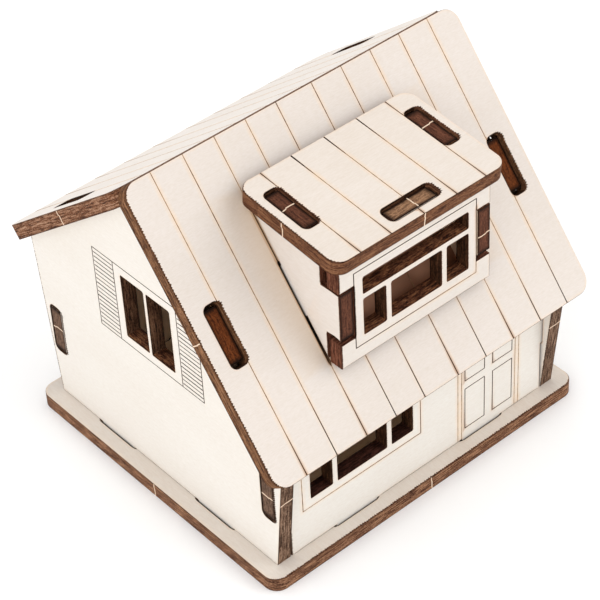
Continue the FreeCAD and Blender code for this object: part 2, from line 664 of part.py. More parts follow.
def make_cheek(doc, name, face):
    """A dormer cheek: a triangle on the main roof, with a finger through the dormer front's notch."""
    body = make_body(doc, name)
    outline = make_sketch(body, "YZ_Plane", name + "_outline")
    lower_y = "Layout.dormer_back_y + Sizes.lower_ear_gap"
    upper_y = "Layout.dormer_back_y + Sizes.upper_ear_gap"
    upper_z = "Layout.cheek_back_z + Sizes.upper_ear_gap * Layout.dormer_rise"
    nose_run = "(Layout.cheek_run - Sizes.cheek_nose)"
    nose_y = "Layout.dormer_back_y + %s" % nose_run
    finger_low = "Layout.dormer_foot_z + Sizes.lower_ear + Sizes.finger_gap"
    finger_high = "Layout.dormer_top_z - Sizes.upper_ear - Sizes.notch_play"
    draw_polygon(outline, [
        (lower_y, "Layout.dormer_foot_z + Sizes.lower_ear_gap * Layout.rise_front"),
        (nose_y, "Layout.dormer_foot_z + %s * Layout.rise_front" % nose_run),
        (nose_y, "Layout.cheek_back_z + %s * Layout.dormer_rise" % nose_run),
        (upper_y, upper_z),
        (upper_y, finger_high),
        ("Layout.dormer_face_y", finger_high),
        ("Layout.dormer_face_y", finger_low),
        (lower_y, finger_low),
    ])
    add_sheet_pad(body, outline, name + "_sheet")
    tabs = make_sketch(body, "YZ_Plane", name + "_tabs")
    draw_slanted_tab(tabs, ("Layout.dormer_face_y", "Layout.dormer_top_z"),
                     ("cos(Sizes.dormer_slope)", "sin(Sizes.dormer_slope)"),
                     ("-sin(Sizes.dormer_slope)", "cos(Sizes.dormer_slope)"),
                     "Sizes.cheek_top_tab", "Sizes.ply - Sizes.dormer_tab_recess")
    draw_slanted_tab(tabs, ("Layout.dormer_back_y", "Layout.dormer_foot_z"),
                     ("cos(Sizes.front_slope)", "sin(Sizes.front_slope)"),
                     ("sin(Sizes.front_slope)", "-cos(Sizes.front_slope)"),
                     "Sizes.cheek_tab_rise", "Sizes.ply - Sizes.foot_recess")
    add_sheet_pad(body, tabs, name + "_tab_sheet")
    body.setExpression("Placement.Base.x", face)
    return body


def make_dormer_roof(doc):
    """Its own origin is on its underside, over the dormer front's face; +Y is up the slope."""
    body = make_body(doc, "dormer_roof")
    outline = make_sketch(body, "XY_Plane", "DormerRoofOutline")
    side = "(Layout.dormer_x + Sizes.dormer_side_overhang)"
    eave = "-Sizes.dormer_front_overhang"
    back = "Layout.dormer_panel_length - Sizes.dormer_front_overhang"
    draw_rounded(outline, "-" + side, side, eave, back, "Sizes.dormer_corner")
    add_sheet_pad(body, outline, "DormerRoofSheet")
    slots = make_sketch(body, "XY_Plane", "DormerRoofSlots")
    for side in ("-", ""):
        draw_slot(slots, side + "(Layout.dormer_x - Sizes.ply / 2)", "Sizes.cheek_top_tab",
                  "Layout.slot_width", "Layout.slot_length")
    tab_lean = "(Sizes.ply - Sizes.dormer_tab_recess) * sin(Sizes.dormer_slope)"
    draw_rounded(slots, "-Layout.slot_length / 2", "Layout.slot_length / 2", "-Sizes.tab_play",
                 "Sizes.ply + Sizes.tab_play + " + tab_lean, "Sizes.slot_corner")
    cut_through(body, slots, "DormerRoofSlotCuts")
    planks = make_sketch(body, "XY_Plane", "DormerPlanks")
    raise_to_far_face(planks)
    draw_rectangle(planks, "-Sizes.line_width / 2", "Sizes.line_width / 2", eave, back)
    outer_line = "Sizes.dormer_plank + Sizes.dormer_outer_plank"
    draw_planks(planks, ("Sizes.dormer_plank", outer_line), eave, back)
    engrave(body, planks, "DormerPlankLines")
    tilt(body, 1, "Sizes.dormer_slope", "Layout.dormer_face_y", "Layout.dormer_top_z")
    return body


def check(doc, pieces):
    """Stop before anything is written if an object failed or a piece is not one valid solid."""
    for item in doc.Objects:
        if "Invalid" in item.State or "Error" in item.State:
            raise RuntimeError("%s failed: %s" % (item.Label, item.State))
    for piece in pieces:
        if piece.Shape.isNull() or not piece.Shape.isValid() or len(piece.Shape.Solids) != 1:
            raise RuntimeError("%s is not one valid solid" % piece.Label)


def main():
    doc = FreeCAD.newDocument("Dollhouse")
    make_sheet(doc)
    make_layout(doc)
    pieces = [
        make_base_plate(doc),
        make_front_wall(doc),
        make_back_wall(doc),
        make_gable_wall(doc, "left_gable_wall", "-Layout.width_half", outer_face_is_far=False),
        make_gable_wall(doc, "right_gable_wall", "Layout.inner_width_half", outer_face_is_far=True),
        make_front_roof_panel(doc),
        make_back_roof_panel(doc),
        make_dormer_front(doc),
        make_cheek(doc, "dormer_left_cheek", "-Layout.dormer_x"),
        make_cheek(doc, "dormer_right_cheek", "Layout.dormer_x - Sizes.ply"),
        make_dormer_roof(doc),
    ]
    doc.recompute()
    check(doc, pieces)
    os.makedirs("parts", exist_ok=True)
    for piece in pieces:
        piece.Shape.exportStep("parts/%s.step" % piece.Label)
        print(piece.Label, round(piece.Shape.Volume, 1), "mm3")


main()
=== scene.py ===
"""Looks of the plywood dollhouse.

Every CAD sheet is replaced by a piece of the same outline that has what a laser leaves: charred
cut edges with ragged rims, engraved lines, pale nibs where the part was held in its sheet, and
scorched wood beside each burn. Some light and shade is painted into the colours as well:
contact shade along cuts that face down, shade round and inside the dormer and along the lines
beside its cheeks, and warm bounce light on the sides that face a room. Lengths are millimetres
where nothing else is said.
"""
import bpy
import math
import random
import numpy as np
from mathutils import Matrix, Vector
from mathutils.geometry import delaunay_2d_cdt


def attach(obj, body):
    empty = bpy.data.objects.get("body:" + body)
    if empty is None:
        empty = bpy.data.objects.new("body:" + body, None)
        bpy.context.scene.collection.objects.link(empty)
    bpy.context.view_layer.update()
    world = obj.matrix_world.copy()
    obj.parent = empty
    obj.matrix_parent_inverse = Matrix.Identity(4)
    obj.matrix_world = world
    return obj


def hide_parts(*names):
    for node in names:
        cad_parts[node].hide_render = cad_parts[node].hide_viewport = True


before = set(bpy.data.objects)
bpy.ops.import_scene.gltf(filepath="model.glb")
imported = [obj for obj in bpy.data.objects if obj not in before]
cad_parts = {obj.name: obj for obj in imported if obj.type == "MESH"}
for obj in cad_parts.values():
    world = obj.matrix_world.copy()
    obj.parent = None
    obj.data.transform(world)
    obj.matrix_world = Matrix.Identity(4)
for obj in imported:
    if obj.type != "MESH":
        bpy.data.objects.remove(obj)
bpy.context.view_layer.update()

MM = 0.001
HALF_PLY = 1.5
OPPOSITE = 0.9999  # least cosine between the hidden face's normal and the seen one's, reversed
LEVEL = 0.01  # a point counts as in a face up to this far above it
CAD_DIGITS = 4  # decimals of a corner's place
TAB_LENGTH = 10.1
TAB_TOLERANCE = 0.05
SLOT_WIDTH = 3.8  # a hole that is narrower than this and as long as a tab is a slot
SLOT_EXCESS = 2.5  # most by which a slot is longer than its tab

# Burns on a face.
LINE_WIDTH = 0.21  # of an engraved line whose heat is 1
COOL_WIDTH = 0.6  # share of it at a heat of 0
WIDE_FROM = 1.1  # heat from which a line grows wider
WIDENING = 4  # by how many widths for each unit of heat
LINE_DEPTH = 0.15
LINE_HALO = 0.9  # reach of the yellowed wood beside an engraved line
EDGE_HALO = 0.6  # and beside a cut edge
EDGE_SCORCH = 0.55  # how yellow the wood is at a cut edge, from 0 to 1
GLOW_HEATS = (0.2, 0.65, 1.0, 1.06)
GLOWS = (1.0, 0.6, 0.75, 0.12)  # how yellow the wood is beside a line of each of those heats
GLOW_FADE = 1.4  # power by which that falls off over LINE_HALO
HOTTER_WINS = 0.02  # how much nearer a line counts for each unit of its heat
RIM_DROP = 0.06  # of the burnt corner below the face
FOOT_SHADE_FULL = 0.2  # foot of a rim from which it is as black as it gets: char and painted contact shade

# Points and teeth of a rim.
TOOTH_STEP = 0.25  # from a tooth of a ragged rim to the notch beside it
SMOOTH_STEP = 2.0  # from point to point where a rim is not ragged
STEEP = 0.35  # least share of an edge's way across the grain for a ragged rim
UNEVEN = 0.3  # how far a point may lie from its even place, in steps
TOOTH = (0.55, 1.0)  # least and most reach of a tooth, as a share of the longest
NOTCH = (0.1, 0.4)  # the same for a notch
TEETH_FADE = 1.5  # power by which teeth shrink as a cut turns along the grain
SHARPEST = 0.3  # the sum of two sides' vectors counts as no shorter than this
LEAST_MITRE = 0.6  # limits how far a halo reaches out at a corner
HALO_EVERY = 3  # of the points that lie close together, a halo keeps one in so many
BLOB_REACH = 1.6  # from a slot's corner to where its blob is half as large
BLOB = 0.3  # and how far the blob reaches into the face
DOT_REACH = 0.6  # like BLOB_REACH, for the dots at the base's slots

# Nibs.
NIB_WIDTH = 0.2
NIB_PROUD = 0.05  # out of the cut edge, and as far into it
NIB_DEPTHS = (0.03, 0.3, 0.36, 0.7, 0.97)  # where a nib bends, in thicknesses below the face
NIB_SHIFT = 0.15  # most by which a nib starts beside its spot
NIB_SWAY = 0.12  # most by which it bends
NIB_JOG = 0.2  # and how much further at its third bend

# Engraved lines: places, sizes and heats.
PLANK_HEAT = (0.3, 0.55)  # least and most, away from a line's ends
ROOF_ENDS = (1.1, 13.0, 0.6, 7.0)  # heat and run of a line's low end, then of its high end
DORMER_ENDS = (1.05, 6.0, 1.3, 8.0)
RUN_SPREAD = (0.7, 1.2)  # what a run is multiplied by, least and most
LOW_SPREAD = (0.85, 1.0)  # the same for the heat at a low end
HIGH_SPREAD = (0.6, 1.0)  # and at a high end
THIN_DARK = 1.06  # heat of a thin dark line with hardly any yellow beside it
MIDDLE_PLANK = 8.1  # between the two lines nearest to a roof's middle
PLANK = 6.89  # between the others
SIDE_LINES = 5  # at each side of a roof's middle
DORMER_LINES = (7.5, 14.35)  # from the middle of the dormer's roof
FRAME_MARGIN = 1.95  # from the lights to the frame round them
FRONT_FRAME = (0.5, 0.7, 0.35, 0.15, 0.6)  # heats, as in rectangle
DORMER_FRAME = (THIN_DARK, 0.5, 1.08, 1.08, 1.1)
SHUTTER = 5.85  # how wide a shutter is
LOUVRE = 1.01  # from one louvre to the next
LOUVRES = 17
LOUVRE_INSET = 0.3
LOUVRE_HEAT = (1.05, 1.18)
WALL_FOOT = 3.0  # top of the base plate
DOOR = 17.65  # middle of the door
DOOR_HALF = 6.9
PILASTER = 0.95
DOOR_TOP = 28.9
DOOR_TOP_HEAT = 0.7
DOOR_SIDE_HEATS = (0.35, 0.5)  # at the foot and at the top
PANEL_SIDES = (1.05, 6.05)  # from the door's middle
PANELS = ((5.5, 15.4), (17.45, 27.0))
PANEL_HEATS = (1.03, 1.06, 1.05, 1.06, 1.02)
CHEEK_REACH = 19.0  # the slots under the cheeks are nearer than this to the middle
CHEEK_SHADE_HEAT = 1.5  # heat of the lines beside the dormer's cheeks, painted wide and black as shade at the cheeks' foot
PAST_SLOT = (1.1, 1.0)  # heats beyond the slot's end and at the dormer's back, painted dark as the same shade
CHEEK_FOOT = (12.3, 44.0)  # along the front roof, from the dormer's foot to its back
DORMER_INSIDE = (17.3, 14.0, 44.0)  # half width, and the two ends along the front roof, of the dormer's painted shade

# ---- reading the CAD sheets


class Sheet:
    """A CAD sheet seen from one side: its outline in the axes of its own plane.

    out points to the side that is engraved and seen, along is the direction of the face grain.
    """

    def __init__(self, node, out, along):
        """Read a node's sheet; out may be only roughly the direction of its seen face."""
        self.node = node
        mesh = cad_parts[node].data
        hint = Vector(out)
        best = max(mesh.polygons, key=lambda p: p.area * p.normal.dot(hint))
        self.out = best.normal.normalized()
        self.along = Vector(along)
        self.up = self.out.cross(self.along)
        heights = [v.co.dot(self.out) / MM for v in mesh.vertices]
        self.height = max(heights)
        self.low = min(heights)
        self.thickness = self.height - self.low
        self.loops = self.read_loops(mesh)

    def flat(self, point):
        """The u and v of a point of the row frame."""
        return (point.dot(self.along) / MM, point.dot(self.up) / MM)

    def place(self, u, v, height):
        """The point of the row frame at u, v and a height above the seen face."""
        return (self.along * u + self.up * v + self.out * (self.height + height)) * MM

    def read_loops(self, mesh):
        """Closed loops round the hidden face, which has no lines, with the wood on their left.

        The outline comes first, then the holes from the largest to the smallest.
        """
        faces = []
        for polygon in mesh.polygons:
            if polygon.normal.dot(self.out) > -OPPOSITE:
                continue
            if mesh.vertices[polygon.vertices[0]].co.dot(self.out) / MM > self.low + LEVEL:
                continue
            corners = [mesh.vertices[i].co for i in reversed(polygon.vertices)]
            faces.append([tuple(round(c, CAD_DIGITS) for c in self.flat(p)) for p in corners])
        loops = [np.array(loop) for loop in border_loops(faces)]
        loops.sort(key=lambda loop: -np.ptp(loop, axis=0).prod())
        return loops

    def window_box(self):
        """Left, right, bottom and top of the frame round the holes that are no tab's slots."""
        lights = np.concatenate([loop for loop in self.loops[1:] if not is_slot(loop)])
        left, bottom = lights.min(0) - FRAME_MARGIN
        right, top = lights.max(0) + FRAME_MARGIN
        return left, right, bottom, top


def is_slot(loop):
    """Whether a hole is as long and as narrow as a tab's slot."""
    narrow, long = sorted(np.ptp(loop, axis=0))
    return narrow < SLOT_WIDTH and TAB_LENGTH < long < TAB_LENGTH + SLOT_EXCESS


# ---- engraved lines
# A line is (start, end, heat at the start, heat at the end): a hot line is burnt darker.
# A function that draws a sheet's lines is given the sheet and its random numbers, used or not.


def line(x0, y0, x1, y1, hot_start, hot_end=None):
    """A line from x0, y0 to x1, y1, as hot at its end as at its start if no other heat is given."""
    return ((x0, y0), (x1, y1), hot_start, hot_start if hot_end is None else hot_end)


def rectangle(left, right, bottom, top, heats):
    """Its four lines; heats are at the corners, from the lower left one round to it again."""
    corners = ((left, bottom), (right, bottom), (right, top), (left, top), (left, bottom))
    return [line(*corners[i], *corners[i + 1], heats[i], heats[i + 1]) for i in range(4)]


def plank_lines(sheet, places, rng, ends):
    """Lines down the whole slope, with a heat of its own at each end, which passes over a run."""
    low_heat, low_run, high_heat, high_run = ends
    low, high = sheet.loops[0][:, 1].min(), sheet.loops[0][:, 1].max()
    lines = []
    for u in places:
        heat_near = rng.uniform(*PLANK_HEAT)
        heat_far = rng.uniform(*PLANK_HEAT)
        near = low + low_run * rng.uniform(*RUN_SPREAD)
        far = high - high_run * rng.uniform(*RUN_SPREAD)
        lines.append(line(u, low, u, near, low_heat * rng.uniform(*LOW_SPREAD), heat_near))
        lines.append(line(u, near, u, far, heat_near, heat_far))
        lines.append(line(u, far, u, high, heat_far, high_heat * rng.uniform(*HIGH_SPREAD)))
    return lines


def roof_lines(sheet, rng):
    """The lines between eleven planks; the middle one is wider than the rest."""
    steps = range(SIDE_LINES)
    places = [side * (MIDDLE_PLANK / 2 + PLANK * step) for side in (-1, 1) for step in steps]
    return plank_lines(sheet, places, rng, ROOF_ENDS)


def cheek_slot_top(sheet):
    """Where the slots under the dormer's cheeks end, up the roof."""
    slots = [loop for loop in sheet.loops[1:] if is_slot(loop)]
    return max(loop[:, 1].max() for loop in slots if np.abs(loop[:, 0]).max() < CHEEK_REACH)


def front_roof_lines(sheet, rng):
    """A roof's lines, with painted shade over those beside the dormer's cheeks: wide and black up
    to a slot's end, then dark to the dormer's back.
    """
    beside_cheek = MIDDLE_PLANK / 2 + PLANK * 2
    lines = roof_lines(sheet, rng)
    low, high = CHEEK_FOOT
    middle = cheek_slot_top(sheet)
    for u in (-beside_cheek, beside_cheek):
        lines.append(line(u, low, u, middle, CHEEK_SHADE_HEAT))
        lines.append(line(u, middle, u, high, *PAST_SLOT))
    return lines


def dormer_roof_lines(sheet, rng):
    """The lines between six planks."""
    places = [side * place for side in (-1, 1) for place in DORMER_LINES]
    return plank_lines(sheet, [0.0] + places, rng, DORMER_ENDS)


def door_lines():
    """A double door: pilasters at both sides, and an upper and a lower panel in each leaf."""
    outer = DOOR_HALF + PILASTER
    lines = [line(DOOR - outer, DOOR_TOP, DOOR + outer, DOOR_TOP, DOOR_TOP_HEAT)]
    for reach in (-outer, -DOOR_HALF, DOOR_HALF, outer):
        lines.append(line(DOOR + reach, WALL_FOOT, DOOR + reach, DOOR_TOP, *DOOR_SIDE_HEATS))
    near, far = PANEL_SIDES
    for bottom, top in PANELS:
        lines += rectangle(DOOR - far, DOOR - near, bottom, top, PANEL_HEATS)
        lines += rectangle(DOOR + near, DOOR + far, bottom, top, PANEL_HEATS)
    return lines


def front_wall_lines(sheet, rng):
    """The window's frame and the door."""
    return rectangle(*sheet.window_box(), FRONT_FRAME) + door_lines()


def dormer_front_lines(sheet, rng):
    """The window's frame."""
    return rectangle(*sheet.window_box(), DORMER_FRAME)


def shutter_lines(left, right, bottom, top, rng):
    """The border of a shutter, and its louvres."""
    lines = rectangle(left, right, bottom, top, (THIN_DARK,) * 5)
    for step in range(1, LOUVRES + 1):
        v = top - LOUVRE * step
        hot = rng.uniform(*LOUVRE_HEAT)
        lines.append(line(left + LOUVRE_INSET, v, right - LOUVRE_INSET, v, hot))
    return lines


def gable_lines(sheet, rng):
    """A frame round the window, with a shutter at each side as high as the frame."""
    left, right, bottom, top = sheet.window_box()
    lines = [line(left, v, right, v, THIN_DARK) for v in (bottom, top)]
    lines += shutter_lines(left - SHUTTER, left, bottom, top, rng)
    lines += shutter_lines(right, right + SHUTTER, bottom, top, rng)
    return lines


# ---- flat geometry

AT_ONCE = 400  # points that are worked on together
SHORTEST = 1e-12  # a squared length counts as no less than this
WELD = 1e-5  # points nearer to each other than this become one


def in_pieces(function, points):
    """Run a numpy function on a few points at a time, which keeps its tables small."""
    starts = range(0, len(points), AT_ONCE)
    return np.concatenate([function(points[i:i + AT_ONCE]) for i in starts])


def edges_of(loops):
    """The start and the end of every edge of some loops."""
    return np.concatenate(loops), np.concatenate([np.roll(loop, -1, axis=0) for loop in loops])


def inside(points, loops):
    """Which points lie within the loops, by the even-odd rule."""
    starts, ends = edges_of(loops)

    def test(some):
        """Whether a line to the right of each point crosses the loops an odd number of times."""
        x, y = some[:, 0, None], some[:, 1, None]
        crosses = (starts[:, 1] > y) != (ends[:, 1] > y)
        rise = np.where(ends[:, 1] == starts[:, 1], 1.0, ends[:, 1] - starts[:, 1])
        at = starts[:, 0] + (y - starts[:, 1]) / rise * (ends[:, 0] - starts[:, 0])
        return ((x < at) & crosses).sum(1) % 2 == 1

    return in_pieces(test, points)


def nearest_on(points, starts, ends):
    """Distance from each point to each segment, and how far along it the nearest spot is."""
    way = ends - starts
    length2 = np.maximum((way ** 2).sum(1), SHORTEST)
    share = ((points[:, None] - starts) * way).sum(2) / length2
    share = np.clip(share, 0, 1)
    gap = points[:, None] - (starts + share[:, :, None] * way)
    return np.sqrt((gap ** 2).sum(2)), share


def resample(loop, rng):
    """The loop with the points that a ragged rim needs: close together across the grain."""
    points = []
    for start, end in zip(loop, np.roll(loop, -1, axis=0)):
        way = end - start
        length = math.hypot(*way)
        across = abs(way[1]) / length
        step = TOOTH_STEP if across > STEEP else SMOOTH_STEP
        count = max(1, round(length / step))
        for index in range(count):
            share = index / count
            if index:
                share += rng.uniform(-UNEVEN, UNEVEN) / count
            points.append(start + way * share)
    return np.array(points)


def left_sides(loop):
    """The unit vector to the left of each edge of a loop, where the wood is."""
    way = np.roll(loop, -1, axis=0) - loop
    way /= np.linalg.norm(way, axis=1)[:, None]
    return np.stack([-way[:, 1], way[:, 0]], 1)


def inward_normals(loop):
    """A vector from each point of a loop into the wood, shorter than 1 only at a sharp corner."""
    left = left_sides(loop)
    both = left + np.roll(left, 1, axis=0)
    return both / np.maximum(np.linalg.norm(both, axis=1)[:, None], SHARPEST)


def facing_down(sheet, normals):
    """How squarely each point's cut faces down: 0 up to a cosine of a half, 1 straight down."""
    return np.clip(normals[:, 1] * sheet.up.z * 2 - 1, 0, 1)


def near_corners(loop, reach):
    """How near each point of a slot's outline is to a corner of the slot.

    It is 1 within half the reach, and 0 from one and a half times the reach.
    """
    middle = (loop.min(0) + loop.max(0)) / 2
    to_corner = np.abs(np.ptp(loop, axis=0) / 2 - np.abs(loop - middle)).max(1)
    return np.clip(1.5 - to_corner / reach, 0, 1)


def ragged_rim(sheet, loop, rim, tooth, foot, dot, rng):
    """The inner border of the char on the face.

    It is ragged where the wood begins at the cut and goes on along the sheet's grain, and has
    blobs there at a slot's corners. Every corner of a slot may have a dot. A rim that faces
    straight down is at least foot wide: a band of painted contact shade as well as char.
    """
    normals = inward_normals(loop)
    toothed = np.clip(normals[:, 0], 0, 1) ** TEETH_FADE
    zigzag = np.array([rng.uniform(*(TOOTH if i % 2 else NOTCH)) for i in range(len(loop))])
    reach = rim + tooth * toothed * zigzag
    if is_slot(loop):
        reach += BLOB * toothed * near_corners(loop, BLOB_REACH) * zigzag
        reach += dot * near_corners(loop, DOT_REACH)
    reach = np.maximum(reach, foot * facing_down(sheet, normals))
    return loop + normals * reach[:, None]


def line_half(hot):
    """Half the width of an engraved line, which a hot beam burns wider."""
    wider = WIDENING * np.clip(hot - WIDE_FROM, 0, 1)
    return LINE_WIDTH / 2 * (COOL_WIDTH + (1 - COOL_WIDTH) * np.clip(hot, 0, 1) + wider)


def cut_flat(loops, rims, halo, lines):
    """Triangles of a face, with the rims, the halos and the engraved lines as borders.

    Gives their points, the three point numbers of each, and the middle of each.
    """
    points, edges = [], []

    def add_path(path, closed):
        """Add a path that no triangle may cross."""
        first = len(points)
        points.extend(Vector(p) for p in path)
        edges.extend((first + i, first + i + 1) for i in range(len(path) - 1))
        if closed:
            edges.append((first + len(path) - 1, first))

    for loop in loops + rims + halo:
        add_path(loop, True)
    for start, end, hot_start, hot_end in lines:
        start, end = np.array(start), np.array(end)
        way = (end - start) / math.hypot(*(end - start))
        side = np.array([-way[1], way[0]])
        near, far = line_half(hot_start), line_half(hot_end)
        add_path([start, end], False)
        add_path([start + side * near, end + side * far], False)
        add_path([start - side * near, end - side * far], False)
        low, high = start - way * LINE_HALO, end + way * LINE_HALO
        reach = side * LINE_HALO
        add_path([low + reach, low - reach, high - reach, high + reach], True)
    found, _, faces, _, _, _ = delaunay_2d_cdt(points, edges, [], 0, WELD)
    found = np.array([tuple(p) for p in found])
    faces = np.array([face for face in faces if len(face) == 3])
    middles = found[faces].mean(1)
    keep = inside(middles, loops)
    faces, middles = faces[keep], middles[keep]
    used = np.unique(faces)
    place = np.full(len(found), -1)
    place[used] = np.arange(len(used))
    return found[used], place[faces], middles


def border_loops(faces):
    """The closed loops of corners round a set of faces, each of which is a list of corners."""
    sides = {}
    for face in faces:
        for start, end in zip(face, face[1:] + face[:1]):
            if (end, start) in sides:
                del sides[(end, start)]
            else:
                sides[(start, end)] = True
    after = {start: end for start, end in sides}
    loops = []
    while after:
        point = next(iter(after))
        loop = []
        while point in after:
            loop.append(point)
            point = after.pop(point)
        loops.append(loop)
    return loops


# ---- building a sheet

# The kinds of surface, in the order of a piece's materials.
FACE, CHAR, DARK, SILL, TAB, RIM, BURN, NIB = range(8)
SHARP = 32  # degrees between two faces from which their edge is sharp
LOOP_APART = 10.0  # in the flat layer, from the cut of one loop to the next
ON_EDGE = 1e-3  # a point is on an outline if it is nearer than this
KEY_DIGITS = 5  # decimals by which a point is known again
IN_LINE = 1.01  # and in a line up to so many times half its width
FACES_ALONG = 0.5  # least share along the grain for a slot's charred side
FACES_ACROSS = 0.7  # and across it for a sill


def add_object(name, data):
    """A new object of the scene, with its mesh, light or camera."""
    made = bpy.data.objects.new(name, data)
    bpy.context.scene.collection.objects.link(made)
    return made


class Builder:
    """Points, faces and their layers, gathered before one mesh is made of them."""

    def __init__(self):
        self.points, self.faces, self.kinds, self.flats = [], [], [], []
        self.scorch, self.heat, self.room = [], [], []

    def add_point(self, point, scorch=0.0, heat=0.0, room=0.0):
        """Add a point with its values in the three layers, and give its number."""
        self.points.append(point)
        self.scorch.append(scorch)
        self.heat.append(heat)
        self.room.append(room)
        return len(self.points) - 1

    def add_face(self, corners, kind, flat):
        """Add a face of a kind; flat has the place in the flat layer of each corner."""
        self.faces.append(corners)
        self.kinds.append(kind)
        self.flats.append(flat)

    def make(self, name, materials):
        """Make the mesh and the piece that has it."""
        mesh = bpy.data.meshes.new(name)
        mesh.from_pydata(self.points, [], self.faces)
        for material in materials:
            mesh.materials.append(material)
        mesh.polygons.foreach_set("material_index", self.kinds)
        flat = mesh.uv_layers.new(name="sheet")
        flat.data.foreach_set("uv", [c for face in self.flats for spot in face for c in spot])
        # burnt holds a line's heat, and beside a cut how black its rim is; where the cut faces down
        # that black is painted contact shade, and the lines beside the dormer's cheeks are painted
        # shade.
        layers = (("scorch", self.scorch), ("burnt", self.heat), ("room", self.room))
        for title, values in layers:
            layer = mesh.attributes.new(title, "FLOAT", "POINT")
            layer.data.foreach_set("value", values)
        smooth = [kind in (CHAR, DARK, SILL, TAB) for kind in self.kinds]
        mesh.polygons.foreach_set("use_smooth", smooth)
        mesh.validate()
        mesh.set_sharp_from_angle(angle=math.radians(SHARP))
        return add_object(name, mesh)


def rim_char_and_shade(sheet, loops, foot):
    """How black the rim is beside each short edge of the outlines, from 0 to 1; where a cut faces
    down that black is painted contact shade as well as char.
    """
    heats = []
    for loop in loops:
        normals = inward_normals(loop)
        black = facing_down(sheet, normals) * min(1.0, foot / FOOT_SHADE_FULL)
        if is_slot(loop):
            black = np.maximum(black, 1 - np.clip(normals[:, 0], 0, 1))
        heats.append(black)
    return np.concatenate(heats)


def halo_path(loop):
    """The border of the yellowed wood beside a cut, with fewer points where teeth are close."""
    normals = inward_normals(loop)
    mitre = np.clip((normals * left_sides(loop)).sum(1), LEAST_MITRE, 1)
    gap = np.linalg.norm(np.roll(loop, -1, axis=0) - loop, axis=1)
    keep = np.maximum(gap, np.roll(gap, 1)) > TOOTH_STEP * 2
    keep |= np.arange(len(loop)) % HALO_EVERY == 0
    return (loop + normals * (EDGE_HALO / mitre)[:, None])[keep]


def line_gaps(points, tables):
    """Distance from each point to each line, and the heat of the line at its nearest spot."""
    starts, ends, hot_starts, hot_ends = tables
    distance, share = nearest_on(points, starts, ends)
    return distance, hot_starts + share * (hot_ends - hot_starts)


def add_side(build, sheet, loops, rims, lines, front, foot=0.0):
    """One face of the sheet.

    Gives the number of its first point, its flat points, and the loops of points round it.
    """
    halo = [halo_path(loop) for loop in loops]
    points, faces, middles = cut_flat(loops, rims, halo, lines)
    starts, ends = edges_of(loops)

    def edge_gap(some):
        """How far the nearest edge of the outlines is, and its number."""
        distance = nearest_on(some, starts, ends)[0]
        return np.stack([distance.min(1), distance.argmin(1)], 1)

    gaps, nearest = in_pieces(edge_gap, points).T
    scorch = EDGE_SCORCH * np.clip(1 - gaps / EDGE_HALO, 0, 1)
    drop = np.where(gaps < ON_EDGE, RIM_DROP, 0.0)
    # Beside a cut: how black its rim is, painted contact shade where the cut faces down.
    heat = rim_char_and_shade(sheet, loops, foot)[nearest.astype(int)]
    burnt = np.zeros(len(faces), bool)
    if lines:
        tables = [np.array(column) for column in zip(*lines)]
        distance, hot = line_gaps(points, tables)
        row = np.arange(len(points))
        near = (distance - HOTTER_WINS * hot).argmin(1)
        line_gap, line_heat = distance[row, near], hot[row, near]
        half = line_half(line_heat)
        drop = np.maximum(drop, LINE_DEPTH * np.clip(1 - line_gap / half, 0, 1))
        fade = np.clip(1 - distance / LINE_HALO, 0, 1) ** GLOW_FADE
        glow = fade * np.interp(hot, GLOW_HEATS, GLOWS)
        scorch = np.maximum(scorch, glow.max(1))
        heat = np.where(gaps < EDGE_HALO / 2, heat, line_heat)
        heat = np.where(line_gap < half * IN_LINE, line_heat, heat)

        def line_excess(some):
            """How far each point is outside the lines, below 0 within one."""
            distance, hot = line_gaps(some, tables)
            return (distance - line_half(hot)).min(1)

        burnt = in_pieces(line_excess, middles) < 0
    rim = ~inside(middles, rims)
    base = len(build.points)
    level = 0.0 if front else -sheet.thickness
    sign = 1 if front else -1
    # The side that faces a room gets the painted bounce light.
    room = float(front == (sheet.node == "base_plate"))
    for (u, v), sink, yellow, black in zip(points, drop, scorch, heat):
        build.add_point(sheet.place(u, v, level - sign * sink), yellow, black, room)
    for face, is_burnt, is_rim in zip(faces, burnt, rim):
        kind = RIM if is_rim else BURN if is_burnt else FACE
        corners = list(face) if front else list(face[::-1])
        flat = [tuple(points[c]) for c in corners]
        build.add_face([base + int(c) for c in corners], kind, flat)
    return base, points, border_loops(faces.tolist())


def wall_kind(loop, normal, length):
    """The kind of a cut edge: loop is its outline, normal points from it into the wood."""
    if abs(length - TAB_LENGTH) < TAB_TOLERANCE:
        return TAB
    if is_slot(loop):
        return CHAR if normal[0] > FACES_ALONG else DARK
    return SILL if abs(normal[1]) > FACES_ACROSS else DARK


def cut_edges(sheet):
    """Every straight edge of the outlines: its start, its end and its kind."""
    kinds = []
    for loop in sheet.loops:
        for start, end, normal in zip(loop, np.roll(loop, -1, axis=0), left_sides(loop)):
            kind = wall_kind(loop, normal, math.dist(start, end))
            if loop is sheet.loops[0] and kind != TAB:
                kind = CHAR
            kinds.append(kind)
    return *edges_of(sheet.loops), kinds


def key(point):
    """The rounded place by which a point is known again."""
    return tuple(np.round(point, KEY_DIGITS))


